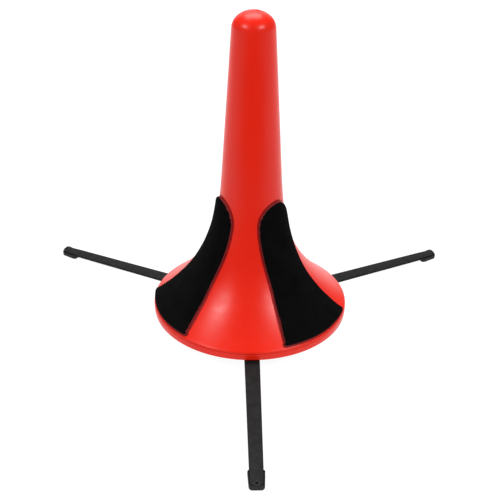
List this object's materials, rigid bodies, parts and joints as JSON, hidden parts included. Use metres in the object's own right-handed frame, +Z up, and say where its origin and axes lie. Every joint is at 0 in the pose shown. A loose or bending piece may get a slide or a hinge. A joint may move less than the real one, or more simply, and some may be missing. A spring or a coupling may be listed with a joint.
{
  "type": "trumpet stand",
  "caption": "Folding stand for a trumpet: a tall red cone with velvet pads fills the bell, and flat legs fold down from a plug-in hub under it.",
  "frame": {"origin": "on the floor, at the centre of the rectangle round the three feet; the cone's axis is vertical and stands 35.1 mm behind it and 1.7 mm to its left, at x = -0.0017 m, y = +0.0351 m", "axes": "+Z up; -Y to the front, the way the front leg points; +X to the right as seen from the front"},
  "size_m": [0.2728, 0.2472, 0.204],
  "materials": {
    "red_plastic": "satin-gloss injection-moulded ABS",
    "velvet": "short black velvet pile on thin foam, glued on",
    "black_plastic": "fine moulded texture",
    "leg_paint": "black powder coat on steel strip",
    "foot_rubber": "matte moulded rubber",
    "zinc_steel": "bright zinc plate"
  },
  "bodies": {
    "hub": {"hub_body": "black_plastic", "hub_cover": "black_plastic", "hub_screw_1": "zinc_steel", "hub_screw_2": "zinc_steel", "hub_screw_3": "zinc_steel", "front_hinge_pin": "zinc_steel", "right_hinge_pin": "zinc_steel", "left_hinge_pin": "zinc_steel"},
    "cone": {"cone_shell": "red_plastic", "velvet_pad_left": "velvet", "velvet_pad_right": "velvet", "velvet_pad_rear": "velvet", "base_plate": "black_plastic", "base_screw_1": "zinc_steel", "base_screw_2": "zinc_steel", "base_screw_3": "zinc_steel"},
    "front_leg": {"front_leg": "leg_paint", "front_foot": "foot_rubber"},
    "right_leg": {"right_leg": "leg_paint", "right_foot": "foot_rubber"},
    "left_leg": {"left_leg": "leg_paint", "left_foot": "foot_rubber"}
  },
  "joints": [
    {"name": "cone_lift", "type": "slide", "parent": "hub", "child": "cone", "axis": [0, 0, 1], "range_m": [0, 0.03]},
    {"name": "front_leg_fold", "type": "hinge", "parent": "hub", "child": "front_leg", "pos_m": [-0.00166, 0.02108, 0.00862], "axis": [1, 0, 0], "range_deg": [0, 90]},
    {"name": "right_leg_fold", "type": "hinge", "parent": "hub", "child": "right_leg", "pos_m": [0.01047, 0.04208, 0.00862], "axis": [-0.5, 0.866, 0], "range_deg": [0, 90]},
    {"name": "left_leg_fold", "type": "hinge", "parent": "hub", "child": "left_leg", "pos_m": [-0.01348, 0.04258, 0.00862], "axis": [-0.5358, -0.8443, 0], "range_deg": [0, 90]}
  ]
}
